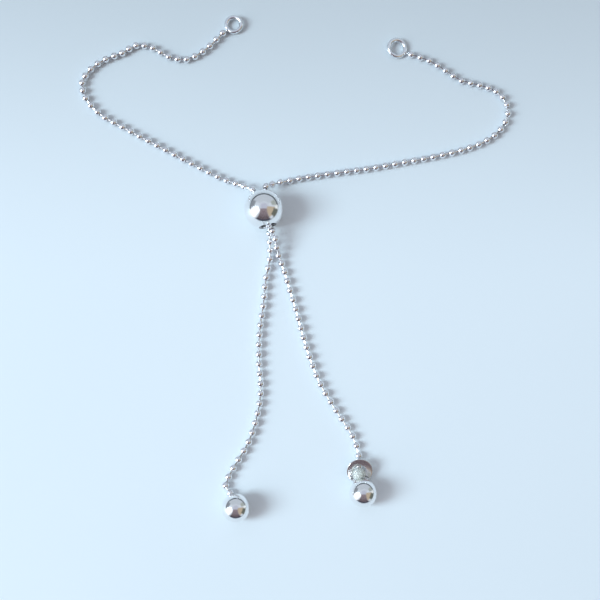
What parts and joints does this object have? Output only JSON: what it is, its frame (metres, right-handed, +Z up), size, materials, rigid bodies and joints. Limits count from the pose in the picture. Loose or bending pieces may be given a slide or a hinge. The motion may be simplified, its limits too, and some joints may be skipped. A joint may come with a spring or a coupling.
{
  "type": "adjustable chain bracelet",
  "caption": "Adjustable bracelet: ball chains run from small end rings round an open loop, through a sliding ball, to end balls, one with a thin disc beside it.",
  "frame": {"origin": "centre of the bounding box at the surface that the bracelet lies on", "axes": "+Z up from the surface, +Y from the end balls towards the slider and the rings, +X to the right seen from above"},
  "size_m": [0.0771, 0.0891, 0.0067],
  "materials": {
    "chain_silver": "sterling silver, rolled and tumbled bright, fine wear",
    "ring_silver": "sterling silver wire, polished, closed with solder",
    "ball_silver": "sterling silver, mirror polish",
    "disc_silver": "sterling silver sheet, polished, slightly worn",
    "clear_rubber": "clear silicone rubber"
  },
  "bodies": {
    "root": {"ring_left": "ring_silver", "ring_right": "ring_silver", "chain_left": "chain_silver", "chain_right": "chain_silver", "slider": "ball_silver", "end_ball_left": "ball_silver", "end_ball_right": "ball_silver", "stopper_disc": "disc_silver", "stopper_core": "clear_rubber"}
  },
  "joints": []
}
